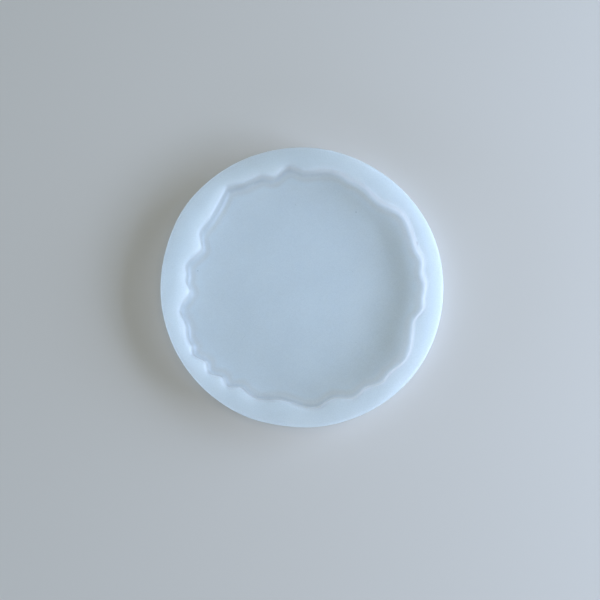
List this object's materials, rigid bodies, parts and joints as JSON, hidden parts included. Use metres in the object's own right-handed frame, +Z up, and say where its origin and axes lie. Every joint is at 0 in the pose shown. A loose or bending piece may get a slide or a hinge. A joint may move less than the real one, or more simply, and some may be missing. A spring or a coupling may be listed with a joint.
{
  "type": "resin casting mould",
  "caption": "Low round mould of milky silicone with a flat rim and a wavy-edged, flat-floored open cavity, for casting a resin coaster.",
  "frame": {"origin": "centre of the flat underside, on the surface that the mould rests on", "axes": "+Z up, out of the cavity's open side. +Y is away from a person who has the cavity's straight facet at the upper left, and +X is to that person's right"},
  "size_m": [0.12, 0.12, 0.01],
  "materials": {
    "silicone": "satin"
  },
  "bodies": {
    "root": {"mould_body": "silicone"}
  },
  "joints": []
}
